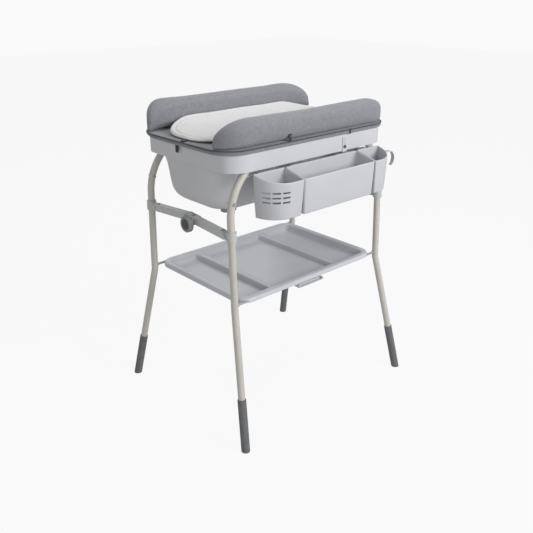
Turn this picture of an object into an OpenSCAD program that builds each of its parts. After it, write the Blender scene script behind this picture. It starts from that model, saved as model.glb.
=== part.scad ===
// Folding bath and changing table. Millimetres, +Z up, floor at z = 0, containers at the front (-Y).

/* [Frame] */
// outside diameter of the frame tubes
tube_d = 22; // [20:1:28]
// wall thickness of the frame tubes
tube_wall = 1.5; // [1:0.1:3]
// half the distance between the left and right uprights
leg_x = 324; // [280:1:380]
// half the distance between front and back uprights, at the leg bend
bend_y = 212; // [190:1:240]
// height of the bend where the legs start to splay
bend_z = 430; // [380:1:470]
// how far each foot stands out past its upright, along the table
foot_out = 45; // [30:1:60]
// height of the top rails' centre line
rail_z = 880; // [840:1:930]
// how far the uprights lean inwards, degrees
lean = 2.12; // [0:0.01:3]
// centre-line radius of the top bends
top_bend_r = 175; // [140:1:200]

/* [Feet] */
// wall thickness of the foot sleeves
sleeve_t = 2.5; // [2:0.1:5]
// length of the foot sleeves
sleeve_len = 166; // [120:1:190]

/* [Folding links] */
// how far the link pivots lie below the tub's floor
pivot_drop = 42; // [40:1:80]
// distance of the link pivots from the tube's surface, towards the middle
pivot_gap = 15.5; // [14.5:0.5:24]
// how far the middle knuckle stands above the pivots
knee_rise = 13; // [8:1:20]
// depth of the link bars
link_h = 23; // [18:1:28]
// height of the collars
collar_h = 30; // [24:1:40]
// diameter of the link pivot pins
pin_d = 8; // [6:0.5:10]

/* [Wheels] */
// diameter of the wheels
wheel_d = 50; // [40:1:60]
// width of the wheels
wheel_w = 16; // [12:1:22]

/* [Bath tub] */
// how far the rim reaches past the uprights' centre lines, at each end
rim_over = 18; // [14:1:30]
// gap between the rails and the inside of the rim's band
band_gap = 6.2; // [3:0.1:12]
// corner radius of the rim
rim_r = 80; // [60:1:100]
// height of the rim's hanging band
band_h = 56; // [40:1:60]
// wall thickness of the tub
tub_wall = 3.5; // [2.5:0.1:5]
// depth of the tub, from the rim's top to the underside of its floor
tub_deep = 194.4; // [170:0.1:210]

/* [Changing mat] */
// how far the mat reaches past the tub's rim at its two ends
mat_over_x = 14; // [4:1:24]
// how far the mat reaches past the tub's rim at front and back
mat_over_y = 6; // [2:1:12]
// height of the front bolster above the mat
bolster_front_h = 79.7; // [50:0.1:100]
// height of the back bolster above the mat
bolster_back_h = 94.2; // [50:0.1:110]
// thickness of a side bolster
bolster_w = 70; // [55:1:80]
// thickness of the loose pad
pad_t = 20; // [12:1:26]

/* [Tray] */
// gap between the tray's ends and the uprights' centre lines
tray_gap = 23; // [20:1:60]
// height of the tray's rods above the legs' bend
rod_rise = 16; // [12:1:40]
// depth of the tray's compartments
tray_depth = 26; // [15:1:32]

/* [Containers] */
// gap between the rim's band and the containers' back edge
bin_gap = 8.4; // [6:0.1:40]
// height of the containers at the back
bin_tall = 128; // [90:1:150]
// depth of the containers, front to back
bin_out = 84; // [70:1:104]
// length of the middle container, as a share of the distance from the middle to an upright
bin_share = 0.966; // [0.7:0.001:0.97]
// wall thickness of the containers
bin_wall = 2.5; // [2:0.1:4]

/* [Hidden] */
$fn = 48;
tube_r = tube_d / 2;
foot_x = leg_x + foot_out;
bore_r = tube_r - tube_wall;
sleeve_clear = 0.3;      // gap all round the tube inside a sleeve, collar or clip
pin_clear = 0.05;        // radial running clearance of the pivot pins
side_gap = 0.6;          // side gap between folding parts
tan_lean = tan(lean);
rail_w = round((rail_z - bend_z) / cos(lean) * 10) / 10;
rail_y = bend_y - (rail_z - bend_z) * tan_lean;
rim_x = leg_x + rim_over;
rim_y = round((rail_y + tube_r + band_gap + tub_wall) * 10) / 10;
rail_gap = 1.9;
rim_z = rail_z + tube_r + rail_gap + tub_wall;
tub_floor_z = rim_z - tub_deep;
pivot_z = tub_floor_z - pivot_drop;
pivot_in = tube_r + pivot_gap;
stub_w = rail_w - top_bend_r;
joint_w = stub_w - 6;
rail_half = leg_x - top_bend_r;
collar_y = bend_y - (pivot_z - bend_z) * tan_lean;
pivot_y = collar_y - pivot_in;
knee_z = pivot_z + knee_rise;
link_len = sqrt(pivot_y * pivot_y + knee_rise * knee_rise);
link_tilt = atan2(knee_rise, pivot_y);
rod_d = 8;
rod_z = bend_z + rod_rise;
rod_w = (rod_z - bend_z) / cos(lean);
rod_y = bend_y - (rod_z - bend_z) * tan_lean;
// direction of the lower leg, from the bend to the floor, in the upright's own frame
leg_az = 60;
run_x = foot_x - leg_x;
run_y = run_x * tan(leg_az);
foot_y = bend_y + (run_y + bend_z * sin(lean)) / cos(lean);
run_z = bend_z * cos(lean) + (foot_y - bend_y) * sin(lean);
leg_tilt = atan2(sqrt(run_x * run_x + run_y * run_y), run_z);
leg_len = sqrt(run_x * run_x + run_y * run_y + run_z * run_z);
tray_x = leg_x - tray_gap;
tray_y = rod_y + 7;
tray_z = rod_z + 9;
mat_x = rim_x + mat_over_x;
mat_y = rim_y + mat_over_y;
mat_r = rim_r + 6;
mat_z = rim_z + 1;
base_t = 9;
board_t = 3;
bar_d = 8;
bin_z = rim_z - band_h - bin_gap;
bin_floor_z = bin_z - bin_tall;
share_x = leg_x / 324;   // spreads what hangs or turns along the table
bin_x1 = 186 * share_x;
bin_x0 = bin_x1 - round(bin_share * leg_x);
bar_z = bin_z - 9;
bar_y = bend_y - (bar_z - bend_z) * tan_lean;
bin_back = bar_y + tube_r + 4.5;   // clear of the uprights' bends
bin_front = bin_back + bin_out;
fine = 0.01;

light_grey = [0.80, 0.79, 0.76];
shell_grey = [0.80, 0.80, 0.82];
link_grey = [0.66, 0.66, 0.65];
dark_grey = [0.35, 0.35, 0.36];
felt_grey = [0.50, 0.51, 0.53];
off_white = [0.91, 0.91, 0.90];
steel = [0.72, 0.72, 0.72];

// rounded rectangle, half sizes x and y
module round_rect(x, y, r) {
  square([2 * x, 2 * (y - r)], center = true);
  square([2 * (x - r), 2 * y], center = true);
  for (sx = [-1, 1], sy = [-1, 1])
    translate([sx * (x - r), sy * (y - r)])
      circle(r);
}

module slab(x, y, r, z0, h) {
  translate([0, 0, z0])
    linear_extrude(h)
      round_rect(x, y, r);
}

module rod_x(x0, x1, d) {
  translate([x0, 0, 0])
    rotate([0, 90, 0])
      cylinder(d = d, h = x1 - x0);
}

// places things drawn in an upright's own plane; side is 1 at the back, -1 at the front
module upright(side) {
  mirror([0, side > 0 ? 0 : 1, 0])
    translate([0, bend_y, bend_z])
      rotate([lean, 0, 0])
        children();
}

module above_floor() {
  intersection() {
    children();
    translate([-500, -500, 0])
      cube([1000, 1000, 1200]);
  }
}

// ---- frame tubes ----
joint_a = 24;   // where along the top bend the rail piece plugs into the leg
plug_a = 8;
pin_a = 17;

// part of a top bend on the right-hand side, from angle a0 to a1
module bend_part(r, a0, a1) {
  translate([rail_half, 0, stub_w])
    rotate([90, 0, 0])
      rotate([0, 0, a0])
        rotate_extrude(angle = a1 - a0)
          translate([top_bend_r, 0])
            circle(r);
}

module pin_at(d, h) {
  translate([rail_half + top_bend_r * cos(pin_a), 0, stub_w + top_bend_r * sin(pin_a)])
    rotate([90, 0, 0])
      cylinder(d = d, h = h, center = true);
}

// keeps or drops the top bend above the joint with the rail piece
module past_joint(extra) {
  translate([rail_half, -50, stub_w])
    rotate([0, -joint_a - extra, 0])
      cube([400, 100, 400]);
}

module before_joint(extra) {
  translate([rail_half, -50, stub_w])
    rotate([0, -joint_a - extra, 0])
      translate([0, 0, -400])
        cube([400, 100, 400]);
}

module leg_path(r, over) {
  translate([leg_x, 0, 0]) {
    cylinder(r = r, h = stub_w);
    sphere(r = r);
    rotate([0, 0, leg_az])
      rotate([0, 180 - leg_tilt, 0])
        cylinder(r = r, h = leg_len - 12 + over);
  }
  bend_part(r, 0, 90);
}

module leg(side, hand) {
  color(light_grey)
    upright(side)
      mirror([hand > 0 ? 0 : 1, 0, 0])
        difference() {
          leg_path(tube_r, 0);
          leg_path(bore_r, 2);
          past_joint(0);
          pin_at(6.2, 60);
        }
}

module rail_path(r) {
  for (hand = [0, 1])
    mirror([hand, 0, 0])
      bend_part(r, 0, 90);
  translate([0, 0, rail_w])
    rod_x(-rail_half, rail_half, 2 * r);
}

module top_rail(side) {
  color(light_grey)
    upright(side)
      difference() {
        rail_path(tube_r);
        rail_path(bore_r);
        for (hand = [0, 1])
          mirror([hand, 0, 0])
            before_joint(0.1);
      }
}

// curved plugs that join the legs to the top rail
module rail_plugs(side) {
  color(steel)
    upright(side)
      for (hand = [0, 1])
        mirror([hand, 0, 0])
          difference() {
            bend_part(bore_r - 0.3, plug_a, 2 * joint_a - plug_a);
            pin_at(6.2, 60);
          }
}

module frame_pins(side) {
  color(steel)
    upright(side)
      for (hand = [0, 1])
        mirror([hand, 0, 0]) {
          pin_at(6, tube_d + 2);
          for (s = [-1, 1])
            translate([0, s * (tube_r + 2), 0])
              pin_at(10, 2.6);
        }
}

module foot(side, hand) {
  color(dark_grey)
    above_floor()
      upright(side)
        mirror([hand > 0 ? 0 : 1, 0, 0])
          translate([leg_x, 0, 0])
            rotate([0, 0, leg_az])
              rotate([0, 180 - leg_tilt, 0])
                translate([0, 0, leg_len - sleeve_len])
                  difference() {
                    cylinder(r = tube_r + sleeve_t, h = sleeve_len + 20);
                    translate([0, 0, -1])
                      cylinder(r = tube_r + sleeve_clear, h = sleeve_len - 10);
                  }
}

// cross rod that carries the tray, its flanged ends riveted to the uprights
module tray_rod(side) {
  color(light_grey)
    upright(side)
      difference() {
        translate([0, 0, rod_w]) {
          rod_x(-leg_x, leg_x, rod_d);
          for (hand = [-1, 1])
            translate([hand * (leg_x - tube_r - 0.2), 0, 0])
              rotate([0, 90, 0])
                cylinder(d = 13, h = 4.4, center = true);
        }
        for (hand = [-1, 1])
          translate([hand * leg_x, 0, 0])
            cylinder(r = tube_r + 0.02, h = 60);
      }
}

// clamp collar with an ear that holds the end of a folding link
ear_y = (pivot_y - bend_y) * cos(lean) + (pivot_z - bend_z) * sin(lean);
ear_z = (bend_y - pivot_y) * sin(lean) + (pivot_z - bend_z) * cos(lean);
module collar(side, hand) {
  color(link_grey)
    upright(side)
      translate([hand * leg_x, 0, ear_z])
        difference() {
          union() {
            cylinder(r = tube_r + 4, h = collar_h, center = true);
            translate([-6, ear_y, -collar_h / 2 + 3])
              cube([12, -ear_y, collar_h - 6]);
            translate([0, ear_y, 0])
              rotate([0, 90, 0])
                cylinder(d = collar_h - 6, h = 12, center = true);
          }
          cylinder(r = tube_r + sleeve_clear, h = collar_h + 2, center = true);
          translate([0, ear_y, 0])
            rotate([0, 90, 0])
              cylinder(r = pin_d / 2 + pin_clear, h = 30, center = true);
        }
}

// ---- folding links: rear half and front half meet at the knee ----
link_wall = 2.5;
link_in = 12 + 2 * side_gap;
link_out = link_in + 2 * link_wall;
knee_in = link_out + 2 * side_gap;

module link_placed(side, hand) {
  translate([hand * leg_x, side * pivot_y, pivot_z])
    rotate([side > 0 ? -link_tilt : link_tilt, 0, 0])
      mirror([0, side > 0 ? 0 : 1, 0])
        children();
}

// rear half: open channel over the collar ear, its knee end narrow
module rear_link(hand) {
  color(link_grey)
    link_placed(1, hand)
      difference() {
        union() {
          translate([-link_out / 2, -link_len, -link_h / 2])
            cube([link_out, link_len, link_h]);
          rotate([0, 90, 0])
            cylinder(d = link_h, h = link_out, center = true);
          translate([0, -link_len, 0])
            rotate([0, 90, 0])
              cylinder(d = link_h, h = link_out, center = true);
        }
        translate([-link_in / 2, -link_len + 22, -link_h / 2 - 1])
          cube([link_in, link_len - 44, link_h - 3]);
        translate([-link_in / 2, -24, -link_h])
          cube([link_in, 60, 2 * link_h]);
        for (y = [0, -link_len])
          translate([0, y, 0])
            rotate([0, 90, 0])
              cylinder(r = pin_d / 2 + pin_clear, h = 40, center = true);
      }
}

// front half: the same channel, forked round the knee end of the rear half
module front_link(hand) {
  color(link_grey)
    link_placed(-1, hand)
      difference() {
        union() {
          translate([-link_out / 2, -link_len + 33, -link_h / 2])
            cube([link_out, link_len - 33, link_h]);
          rotate([0, 90, 0])
            cylinder(d = link_h, h = link_out, center = true);
          for (s = [-1, 1]) {
            translate([s * (knee_in / 2 + link_wall / 2) - link_wall / 2, -link_len, -link_h / 2])
              cube([link_wall, 46, link_h]);
            translate([s * (knee_in / 2 + link_wall / 2), -link_len, 0])
              rotate([0, 90, 0])
                cylinder(d = link_h, h = link_wall, center = true);
          }
          translate([-knee_in / 2 - link_wall, -link_len + 33, -link_h / 2])
            cube([knee_in + 2 * link_wall, 13, link_h]);
          // ear that carries the wheel
          translate([hand * (knee_in / 2 + link_wall) - (hand > 0 ? 0 : 4), -link_len + 15, -link_h / 2 - 8])
            cube([4, 26, link_h + 8]);
        }
        translate([-link_in / 2, -link_len + 52, -link_h / 2 - 1])
          cube([link_in, link_len - 74, link_h - 3]);
        translate([-link_in / 2, -24, -link_h])
          cube([link_in, 60, 2 * link_h]);
        translate([0, -link_len, 0])
          rotate([0, 90, 0])
            cylinder(r = pin_d / 2 + pin_clear, h = 40, center = true);
        rotate([0, 90, 0])
          cylinder(r = pin_d / 2 + pin_clear, h = 40, center = true);
      }
}

module collar_pins(side) {
  color(steel)
    for (hand = [-1, 1])
      translate([hand * leg_x, side * pivot_y, pivot_z])
        rotate([0, 90, 0]) {
          cylinder(d = pin_d, h = link_out + 1, center = true);
          for (s = [-1, 1])
            translate([0, 0, s * (link_out / 2 + 1.3)])
              cylinder(d = pin_d + 5, h = 2, center = true);
        }
}

module knee_pin(hand) {
  w = knee_in + 2 * link_wall;
  color(steel)
    mirror([hand > 0 ? 0 : 1, 0, 0])
      translate([leg_x, 0, knee_z]) {
        rod_x(-w / 2 - 0.5, w / 2 + 4.5, pin_d);
        rod_x(-w / 2 - 2.6, -w / 2 - 0.3, pin_d + 6);
        rod_x(w / 2 + 4.3, w / 2 + 6.4, pin_d + 6);
      }
}

// ---- wheels on the front halves, just below the knee ----
wheel_y = -28;
wheel_z = knee_z - 12;
ear_out = leg_x + knee_in / 2 + link_wall + 4;
wheel_in = ear_out + 3.4;

module wheel_axle(hand) {
  color(steel)
    translate([0, wheel_y, wheel_z])
      mirror([hand > 0 ? 0 : 1, 0, 0])
        union() {
          rod_x(ear_out, wheel_in + wheel_w - 2, 7);
          rod_x(ear_out, wheel_in - 0.4, 12);
        }
}

module wheel(hand) {
  color(link_grey)
    translate([0, wheel_y, wheel_z])
      mirror([hand > 0 ? 0 : 1, 0, 0])
        translate([wheel_in, 0, 0])
          rotate([0, 90, 0])
            rotate_extrude()
              polygon([[16.1, 0], [wheel_d / 2 - 2, 0], [wheel_d / 2, 2], [wheel_d / 2, wheel_w - 3],
                       [wheel_d / 2 - 3, wheel_w], [19, wheel_w], [18, wheel_w - 2], [16.1, wheel_w - 2]]);
}

module wheel_hub(hand) {
  color(dark_grey)
    translate([0, wheel_y, wheel_z])
      mirror([hand > 0 ? 0 : 1, 0, 0])
        translate([wheel_in, 0, 0])
          rotate([0, 90, 0])
            rotate_extrude()
              polygon([[3.55, 1], [15.9, 1], [15.9, wheel_w - 1.5], [14, wheel_w - 0.5],
                       [0, wheel_w - 0.5], [0, wheel_w - 1.6], [3.55, wheel_w - 1.6]]);
}

// ---- bath tub: hanging rim band, inner wall and tapered bowl ----
body_y = rail_y - tube_r - 9.5;
body_x = rim_x - 12;
body_r = 96;
bend_sweep = 116;

module bowl(inset, lift) {
  hull() {
    slab(body_x - inset, body_y - inset, body_r - inset, rim_z - 22, 22 + lift);
    slab(body_x - 3 - inset, body_y - 12 - inset, body_r - inset, rim_z - band_h - 20, 1);
  }
  hull() {
    slab(body_x - 3 - inset, body_y - 12 - inset, body_r - inset, rim_z - band_h - 20, 1);
    slab(body_x - 9 - inset, body_y - 31 - inset, body_r - 14 - inset, tub_floor_z + 38, 1);
    slab(body_x - 27 - inset, body_y - 47 - inset, body_r - 26 - inset, tub_floor_z + 12 + inset * 0.6, 1);
    slab(body_x - 50 - inset, body_y - 66 - inset, body_r - 42 - inset, tub_floor_z + inset, 1);
  }
}

module bath_tub() {
  color(shell_grey)
    difference() {
      union() {
        // band all round, open below; the rails sit in the channel behind it
        difference() {
          slab(rim_x, rim_y, rim_r, rim_z - band_h, band_h);
          slab(rim_x - tub_wall, rim_y - tub_wall, rim_r - tub_wall, rim_z - band_h - 1, band_h - tub_wall + 1);
        }
        bowl(0, -fine);
      }
      bowl(tub_wall, 3);
      // slots in the back of the band, which the back rail's bends pass as the tub tips up
      for (hand = [0, 1])
        mirror([hand, 0, 0])
          translate([rail_half + 19, rail_y - tube_r - 1.5, rim_z - band_h - 1])
            cube([bend_sweep, 60, band_h - 1]);
      translate([latch_x, -rim_y, button_z])
        rotate([90, 0, 0])
          cylinder(r = 5.6, h = 20, center = true);
    }
}

module tub_feet() {
  color(dark_grey)
    for (sx = [-1, 1], sy = [-1, 1])
      translate([sx * 236 * share_x, sy * 84, tub_floor_z - 10])
        linear_extrude(10 - fine)
          round_rect(24, 13, 8);
}

// clips under the rim: the back pair turns on the back rail, the front pair sits over the front rail
module tub_clips() {
  top = rim_z - tub_wall - rail_z;
  color(shell_grey)
    for (sx = [-1, 1], side = [-1, 1])
      translate([sx * 110 * share_x, side * rail_y, rail_z])
        difference() {
          translate([-15, -tube_r - 2.8, side > 0 ? -7 : 3])
            cube([30, tube_d + 5.6, top - (side > 0 ? -7 : 3)]);
          rod_x(-20, 20, tube_d + 2 * sleeve_clear);
        }
}

// round lugs on the back of the band that hold the mat's hinge pins
module mat_lugs() {
  color(shell_grey)
    for (sx = [-1, 1], s = [-1, 1])
      translate([sx * 130 * share_x + s * 20, rim_y, hinge_z])
        difference() {
          union() {
            translate([-2.5, 0, -4])
              cube([5, hinge_y - rim_y, 8]);
            translate([0, hinge_y - rim_y, 0])
              rotate([0, 90, 0])
                cylinder(r = 4, h = 5, center = true);
          }
          translate([0, hinge_y - rim_y, 0])
            rotate([0, 90, 0])
              cylinder(r = 2.5 + pin_clear, h = 8, center = true);
        }
}

latch_x = 126 * share_x;
button_z = rim_z - band_h + 13;
module tub_latch() {
  color(shell_grey)
    translate([latch_x, -rim_y, button_z])
      difference() {
        translate([-9, -2.4, -16])
          cube([18, 2.4, 46]);
        rotate([90, 0, 0])
          cylinder(r = 5.6, h = 20, center = true);
        translate([-1.5, -3, 9])
          cube([3, 2, 18]);
      }
}

module latch_button() {
  color(dark_grey)
    translate([latch_x, -rim_y - 4.6, button_z])
      rotate([-90, 0, 0])
        cylinder(r = 5.2, h = 5);
}

// ---- changing mat ----
module mat_board() {
  color(dark_grey)
    difference() {
      slab(mat_x - 6, mat_y - 6, mat_r - 6, mat_z, board_t);
      slab(mat_x - 70, mat_y - 75, mat_r - 40, mat_z - 1, 2);
    }
}

module mat_base() {
  color(felt_grey)
    slab(mat_x, mat_y, mat_r, mat_z + board_t + 0.3, base_t - board_t);
}

bolster_bottom = mat_z + base_t + 0.4;
module bolster(side) {
  h = side > 0 ? bolster_back_h : bolster_front_h;
  w = bolster_w / 2;
  end_r = 60;
  color(felt_grey)
    translate([0, side * (mat_y - 2 - w), bolster_bottom])
      intersection() {
        // the ends follow the mat's rounded corners
        translate([0, -side * (mat_y - 2 - w), -5])
          linear_extrude(h + 10)
            round_rect(mat_x - 3, mat_y - 0.8, mat_r - 1);
        rotate([90, 0, 90])
          linear_extrude(2 * mat_x, center = true) {
            translate([0, h - w])
              circle(w);
            translate([-w, 0])
              square([2 * w, h - w]);
          }
        rotate([90, 0, 0])
          linear_extrude(2 * w + 2, center = true) {
            translate([-mat_x + 12, -1])
              square([2 * mat_x - 24, h - end_r + 4]);
            translate([-mat_x + 12 + end_r, -1])
              square([2 * mat_x - 24 - 2 * end_r, h + 4]);
            for (s = [-1, 1])
              translate([s * (mat_x - 12 - end_r), h + 3 - end_r])
                circle(end_r);
          }
      }
}

pad_y = mat_y - 2 - bolster_w - 3;
pad_z = bolster_bottom;
module loose_pad() {
  color(off_white)
    translate([-12, 0, pad_z])
      linear_extrude(pad_t)
        round_rect(mat_x - 36, pad_y, pad_y - 22);
}

module pad_straps() {
  color(felt_grey)
    translate([-mat_x + 8, -26, pad_z])
      cube([15, 14, 3]);
}

hinge_y = rim_y + 4.4;
hinge_z = mat_z - 6.5;
module mat_hinge() {
  color(dark_grey)
    for (sx = [-1, 1])
      translate([sx * 130 * share_x, hinge_y, hinge_z]) {
        rod_x(-22.5, 22.5, 5);
        rod_x(-16, 16, 8);
        translate([-16, -4, 0])
          cube([32, 8, 6.5]);
      }
}

// ---- storage tray ----
tray_r = 46;
tray_half_y = rod_y - 8;
tray_bottom = tray_z - tray_depth - 3;
tray_plate = 2.6;
module storage_tray() {
  color(shell_grey)
    difference() {
      union() {
        // rolled rim that hangs over the two rods
        difference() {
          slab(tray_x, tray_y, tray_r, tray_z - 14, 14);
          slab(tray_x - 2.4, tray_y - 2.4, tray_r - 2.4, tray_z - 15, 15 - tray_plate);
        }
        slab(tray_x - 14, tray_half_y, tray_r - 10, tray_bottom, tray_depth + 3);
      }
      intersection() {
        slab(tray_x - 20, tray_half_y - 6, 30, tray_z - tray_depth, tray_depth + 1);
        for (x = [[-tray_x, -158 * share_x], [-140 * share_x, 132 * share_x], [150 * share_x, tray_x]])
          translate([x[0], -300, 0])
            cube([x[1] - x[0], 600, 1000]);
      }
      // the partitions stop below the rim
      slab(tray_x - 20, tray_half_y - 6, 30, tray_z - 9, 10);
      // notches that let the rods through the rim's corners
      for (sx = [-1, 1], sy = [-1, 1])
        translate([sx * (tray_x - 18), sy * rod_y, tray_z - 20 + (20 + rod_z - tray_z + rod_d / 2 + 0.8) / 2])
          cube([42, rod_d + 1.6, 20 + rod_z - tray_z + rod_d / 2 + 0.8], center = true);
    }
}

// blocks under the rim: the back pair turns on the back rod, the front pair sits over the front rod
module tray_clips(side) {
  low = side > 0 ? -7 : 1;
  color(link_grey)
    for (x = [-148, 152])
      translate([x * share_x, side * rod_y, rod_z])
        difference() {
          translate([-9, side > 0 ? -8 : 2.4 - 7, low])
            cube([18, 7 - 2.4 + 8, tray_z - tray_plate - rod_z - low]);
          rod_x(-20, 20, rod_d + 2 * sleeve_clear);
        }
}

module tray_handle() {
  color(shell_grey)
    translate([4, -tray_half_y, tray_bottom])
      difference() {
        translate([-56, -6, -8])
          cube([112, 22, 8]);
        translate([-50, -7, -5.5])
          cube([100, 12, 6]);
      }
}

// ---- containers on the front bar ----
module bin_bar() {
  color(light_grey)
    upright(-1)
      difference() {
        translate([0, 0, (bar_z - bend_z) / cos(lean)])
          rod_x(-leg_x + 30, leg_x - 30, bar_d);
        for (hand = [0, 1])
          mirror([hand, 0, 0])
            bar_cope();
      }
}

// everything outside the tube's centre line, so the bar ends on the tube's surface
module bar_cope() {
  bend_part(tube_r + 0.02, 0, 90);
  difference() {
    translate([rail_half, -20, stub_w])
      cube([300, 40, 300]);
    translate([rail_half, 30, stub_w])
      rotate([90, 0, 0])
        cylinder(r = top_bend_r, h = 60);
  }
}

bin_drop = 20;
// cuts the rim so that the front edge is lower than the back edge
module rim_slope() {
  translate([-400, -bin_front - 20, 0])
    rotate([atan2(bin_drop, bin_out), 0, 0])
      translate([0, 0, bin_z - bin_drop - 4.3])
        cube([800, 200, 300]);
}

module hanger(x, w) {
  translate([x - w / 2, -bar_y, bar_z])
    rotate([90, 0, 90])
      linear_extrude(w)
        difference() {
          union() {
            circle(bar_d / 2 + 3);
            translate([bar_y - bin_back - bin_wall + 0.5, bar_d / 2 + sleeve_clear])
              square([bin_back - bar_y + bin_wall - 0.5, 2.7]);
          }
          circle(bar_d / 2 + sleeve_clear);
          translate([-20, -20])
            square([40, 19]);
        }
}

cup_d = bin_out;
cup_r = cup_d - 4;
cup_w_left = 122 * share_x;
cup_w_right = 106 * share_x;

// plan of a quarter-round cup, its square back corner at the origin; i is the inset
module cup_plan(w, d, i) {
  intersection() {
    translate([-w + i, -d + i])
      square([w - 2 * i, d - 2 * i]);
    union() {
      translate([-w + cup_r, -d + cup_r])
        circle(cup_r - i);
      translate([-w + cup_r, -d])
        square([w, 2 * d]);
      translate([-w, -d + cup_r])
        square([w, d]);
    }
  }
}

module cup_body(w, d) {
  difference() {
    translate([0, 0, bin_floor_z])
      linear_extrude(bin_z - bin_floor_z)
        cup_plan(w, d, 0);
    translate([0, 0, bin_floor_z + bin_wall])
      linear_extrude(bin_z - bin_floor_z)
        cup_plan(w, d, bin_wall);
  }
}

module left_cup() {
  color(shell_grey)
    difference() {
      union() {
        translate([bin_x0 - 2, -bin_back, 0])
          cup_body(cup_w_left, cup_d);
        hanger(bin_x0 - 66, 60);
      }
      rim_slope();
      cup_slots();
    }
}

// rows of drain slots through the curved front
module cup_slots() {
  cx = bin_x0 - 2 - cup_w_left + cup_r;
  for (row = [0:2], col = [-1, 0, 1])
    translate([cx, -bin_back - cup_d + cup_r, bin_floor_z + 36 + row * 14])
      rotate([0, 0, -126 + col * 23])
        translate([cup_r * 0.8, -13, 0])
          cube([cup_r * 0.4, 26, 5]);
}

module right_cup() {
  color(shell_grey)
    difference() {
      union() {
        translate([bin_x1 + 2, -bin_back, 0])
          mirror([1, 0, 0])
            cup_body(cup_w_right, cup_d);
        hanger(bin_x1 + 36, 40);
      }
      rim_slope();
    }
}

module mid_bin() {
  color(shell_grey)
    difference() {
      union() {
        translate([(bin_x0 + bin_x1) / 2, -(bin_back + bin_front) / 2, 0])
          difference() {
            slab((bin_x1 - bin_x0) / 2, bin_out / 2, 10, bin_floor_z, bin_z - bin_floor_z);
            slab((bin_x1 - bin_x0) / 2 - bin_wall, bin_out / 2 - bin_wall, 7.5, bin_floor_z + bin_wall, 400);
          }
        hanger(bin_x0 + 60, 60);
        hanger(bin_x1 - 60, 60);
      }
      rim_slope();
    }
}

// back plate, arm and open ring for a bag's strap
module bag_hook() {
  color(shell_grey)
    translate([bin_x1 + 2 + cup_w_right, -bin_back - 6, bin_z - 52])
      rotate([90, 0, 0])
        linear_extrude(12) {
          translate([0, -18])
            square([3, 46.5]);
          translate([0, 25.5])
            square([46, 3]);
          translate([46, 0])
            intersection() {
              difference() {
                circle(28.5);
                circle(25.5);
              }
              union() {
                square([40, 40]);
                rotate([0, 0, -56])
                  square([40, 60]);
              }
            }
        }
}

top_rail(1);  // back_rail
rail_plugs(1);  // back_rail_plugs
rail_plugs(-1);  // front_rail_plugs
leg(1, -1);  // back_left_leg
leg(1, 1);  // back_right_leg
frame_pins(1);  // back_frame_pins
tray_rod(1);  // back_tray_rod
collar(1, -1);  // back_left_collar
collar(1, 1);  // back_right_collar
collar_pins(1);  // back_collar_pins
top_rail(-1);  // front_rail
leg(-1, -1);  // front_left_leg
leg(-1, 1);  // front_right_leg
frame_pins(-1);  // front_frame_pins
tray_rod(-1);  // front_tray_rod
collar(-1, -1);  // front_left_collar
collar(-1, 1);  // front_right_collar
collar_pins(-1);  // front_collar_pins
bin_bar();
foot(1, -1);  // back_left_foot
foot(1, 1);  // back_right_foot
foot(-1, -1);  // front_left_foot
foot(-1, 1);  // front_right_foot
rear_link(-1);  // left_rear_link
front_link(-1);  // left_front_link
rear_link(1);  // right_rear_link
front_link(1);  // right_front_link
knee_pin(-1);  // left_knee_pin
knee_pin(1);  // right_knee_pin
wheel_axle(-1);  // left_wheel_axle
wheel_axle(1);  // right_wheel_axle
wheel(-1);  // left_wheel
wheel_hub(-1);  // left_wheel_hub
wheel(1);  // right_wheel
wheel_hub(1);  // right_wheel_hub
bath_tub();
tub_feet();
tub_clips();
tub_latch();
latch_button();
mat_lugs();
mat_board();
mat_base();
bolster(-1);  // bolster_front
bolster(1);  // bolster_back
loose_pad();
pad_straps();  // pad_strap
mat_hinge();
storage_tray();
tray_clips(-1);  // tray_front_clips
tray_clips(1);  // tray_back_clips
tray_handle();
left_cup();
mid_bin();
right_cup();
bag_hook();
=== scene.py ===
# Folding bath and changing table: soft mat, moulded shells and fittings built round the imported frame.
import bpy
import bmesh
import math
import numpy as np
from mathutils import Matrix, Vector, noise


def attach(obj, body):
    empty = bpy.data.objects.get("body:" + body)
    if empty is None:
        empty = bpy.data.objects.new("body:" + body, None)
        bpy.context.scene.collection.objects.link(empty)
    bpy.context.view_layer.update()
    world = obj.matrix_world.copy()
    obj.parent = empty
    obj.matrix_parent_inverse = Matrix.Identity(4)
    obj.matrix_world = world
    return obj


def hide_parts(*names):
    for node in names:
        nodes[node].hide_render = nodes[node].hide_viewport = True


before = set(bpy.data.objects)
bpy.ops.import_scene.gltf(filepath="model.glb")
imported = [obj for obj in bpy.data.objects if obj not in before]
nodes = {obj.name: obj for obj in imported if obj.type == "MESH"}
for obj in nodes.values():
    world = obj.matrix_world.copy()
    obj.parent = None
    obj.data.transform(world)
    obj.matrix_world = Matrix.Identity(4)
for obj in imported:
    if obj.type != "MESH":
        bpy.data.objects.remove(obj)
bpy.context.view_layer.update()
print("frame loaded:", len(nodes), "nodes")

# ---------- small helpers ----------


def smooth(a, b, v):
    t = min(1.0, max(0.0, (v - a) / (b - a)))
    return t * t * (3 - 2 * t)


def mix(a, b, t):
    return a + (b - a) * t


def readPoints(mesh):
    co = np.zeros(len(mesh.vertices) * 3)
    mesh.vertices.foreach_get("co", co)
    return co.reshape(-1, 3)


def writePoints(mesh, co):
    mesh.vertices.foreach_set("co", co.ravel())
    mesh.update()


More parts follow.
